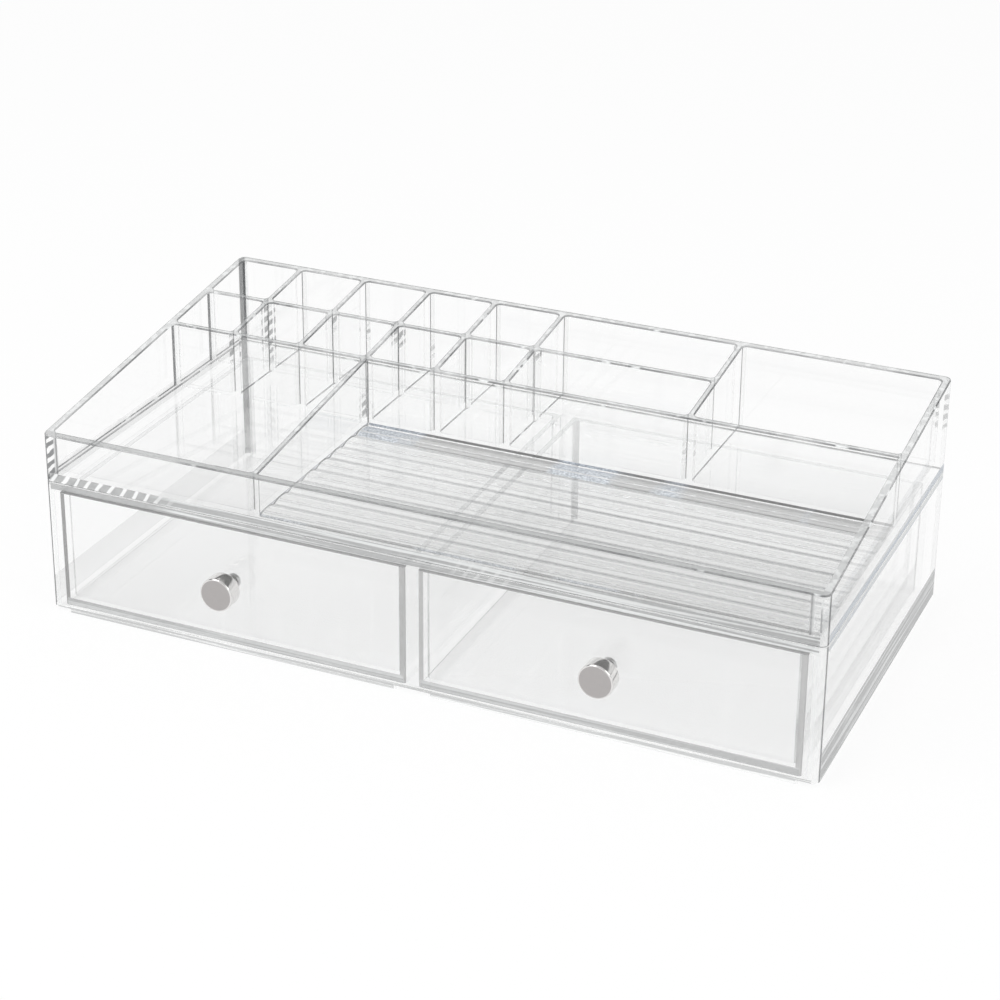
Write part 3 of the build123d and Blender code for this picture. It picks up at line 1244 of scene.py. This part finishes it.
def light_room(scene):
    """A pale room that grows darker above, and bright again overhead."""
    world = bpy.data.worlds.new("room")
    scene.world = world
    nodes = Nodes(world)
    direction = nodes.add("ShaderNodeTexCoord", output="Generated")
    height = nodes.add("ShaderNodeSeparateXYZ", None, {0: direction}, output="Z") * 0.5 + 0.5
    room = nodes.steps(
        height,
        [(0.0, 1.0), (0.5, 1.0), (0.71, 0.97), (0.74, 0.08), (0.84, 0.15), (0.92, 0.9)],
    )
    light = nodes.steps(height, [(0.0, 0.9), (0.5, 0.8), (0.7, 0.5), (1.0, 0.7)])
    shown = nodes.add("ShaderNodeBackground", None, {"Color": room, "Strength": 1.0})
    given = nodes.add("ShaderNodeBackground", None, {"Color": light, "Strength": 1.0})
    nodes.add("ShaderNodeOutputWorld", None, {"Surface": nodes.mix(nodes.seen(), given, shown)})


def white_floor(colours):
    """The floor: pale, seen as white, and still shaded a little where the object stands."""
    finish = bpy.data.materials.new("white_floor")
    nodes = Nodes(finish)
    plain = nodes.add(
        "ShaderNodeBsdfPrincipled", None,
        {"Base Color": opaque(colours.floor), "Roughness": 0.9},
    )
    white = nodes.add("ShaderNodeEmission", None, {"Color": (1, 1, 1, 1), "Strength": 1.0})
    nodes.finish(nodes.mix(nodes.seen() * 0.9, plain, white))
    return finish


def add_lamp(name, place, size, power):
    """A large soft lamp that points at the middle of the object."""
    choose()
    bpy.ops.object.light_add(type="AREA", location=place)
    lamp = bpy.context.active_object
    lamp.name = name
    lamp.data.shape = "RECTANGLE"
    lamp.data.size, lamp.data.size_y = size
    lamp.data.energy = power
    aim = LAMP_TARGET - Vector(place)
    lamp.rotation_euler = aim.to_track_quat("-Z", "Y").to_euler()


def add_camera(view):
    """The camera, which stands where the object is seen from."""
    turn = (
        Matrix.Rotation(view.azimuth, 4, "Z")
        @ Matrix.Rotation(math.pi / 2 - view.elevation, 4, "X")
        @ Matrix.Rotation(view.roll, 4, "Z")
    )
    middle = Vector((0, case_outline()[0], 0))
    choose()
    bpy.ops.object.camera_add()
    camera = bpy.context.active_object
    camera.matrix_world = Matrix.Translation(middle + turn @ Vector(view.offset)) @ turn
    camera.data.sensor_width = 36
    camera.data.lens = view.focal_length
    camera.data.shift_y = view.shift
    camera.data.clip_start = 0.01
    return camera


class MakeStage(bpy.types.Operator):
    """Makes the floor, the light and the camera"""

    bl_idname = "organizer.make_stage"
    bl_label = "Stage"

    def execute(self, context):
        scene = context.scene
        choose()
        bpy.ops.mesh.primitive_plane_add(size=FLOOR_SIZE)
        floor = bpy.context.active_object
        floor.name = "floor"
        floor.data.materials.append(white_floor(scene.organizer_colours))
        light_room(scene)
        for name, place, size, power in LAMPS:
            add_lamp(name, place, size, power)
        scene.camera = add_camera(scene.organizer_view)
        scene.view_settings.view_transform = "Standard"
        scene.cycles.max_bounces = 12
        scene.cycles.glossy_bounces = 4
        scene.cycles.transparent_max_bounces = 96
        return {"FINISHED"}


class OrganizerPanel(bpy.types.Panel):
    """The organizer's sizes, colours and steps"""

    bl_idname = "VIEW3D_PT_organizer"
    bl_label = "Organizer"
    bl_space_type = "VIEW_3D"
    bl_region_type = "UI"
    bl_category = "Organizer"

    def draw(self, context):
        scene = context.scene
        for group in (scene.organizer_sizes, scene.organizer_knob, scene.organizer_colours,
                      scene.organizer_view):
            for name in group.bl_rna.properties.keys():
                if name not in ("rna_type", "name"):
                    self.layout.prop(group, name)
        for step in STEPS:
            self.layout.operator(step.bl_idname)


STEPS = (MakeFinishes, MakeTray, MakeCase, MakeDrawers, MakeKnobs, MakeStage)
GROUPS = {
    "organizer_sizes": OrganizerSizes,
    "organizer_knob": OrganizerKnob,
    "organizer_colours": OrganizerColours,
    "organizer_view": OrganizerView,
}


def register():
    for kind in (*GROUPS.values(), *STEPS, OrganizerPanel):
        bpy.utils.register_class(kind)
    for name, group in GROUPS.items():
        setattr(bpy.types.Scene, name, bpy.props.PointerProperty(type=group))


def unregister():
    for name in GROUPS:
        delattr(bpy.types.Scene, name)
    for kind in reversed((*GROUPS.values(), *STEPS, OrganizerPanel)):
        bpy.utils.unregister_class(kind)


def main():
    """Makes the whole object and its stage."""
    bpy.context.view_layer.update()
    register()
    for step in STEPS:
        group, name = step.bl_idname.split(".")
        getattr(getattr(bpy.ops, group), name)()


if __name__ == "__main__":
    main()
